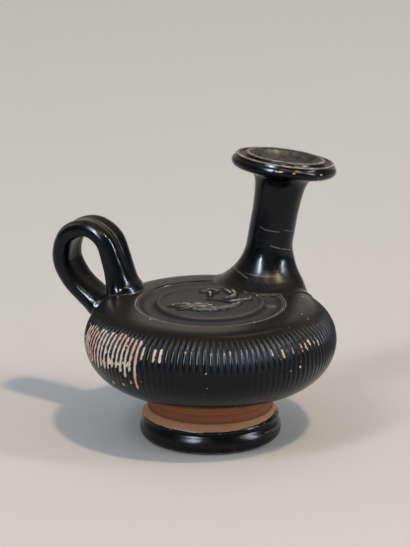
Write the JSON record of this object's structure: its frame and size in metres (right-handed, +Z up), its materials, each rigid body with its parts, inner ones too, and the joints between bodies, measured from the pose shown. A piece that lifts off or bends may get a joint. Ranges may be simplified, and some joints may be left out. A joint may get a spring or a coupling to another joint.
{
  "type": "guttus",
  "caption": "Small closed oil flask with a ribbed round body, a relief medallion on top, a leaning side neck with a dished mouth and a ring handle, on a ring foot.",
  "frame": {"origin": "on the ground, under the middle of the whole vessel's box", "axes": "+Z up. The ring handle lies towards -X and a little +Y, and the neck towards +X and +Y"},
  "size_m": [0.1204, 0.1114, 0.1142],
  "materials": {
    "bare_clay": "fired orange clay, partly under worn black slip",
    "black_slip": "glossy blue-black slip",
    "top_slip": "satin brownish-black slip, worn on the relief"
  },
  "bodies": {
    "root": {"foot": "bare_clay", "body": "black_slip", "medallion": "top_slip", "neck": "black_slip", "handle": "black_slip"}
  },
  "joints": []
}
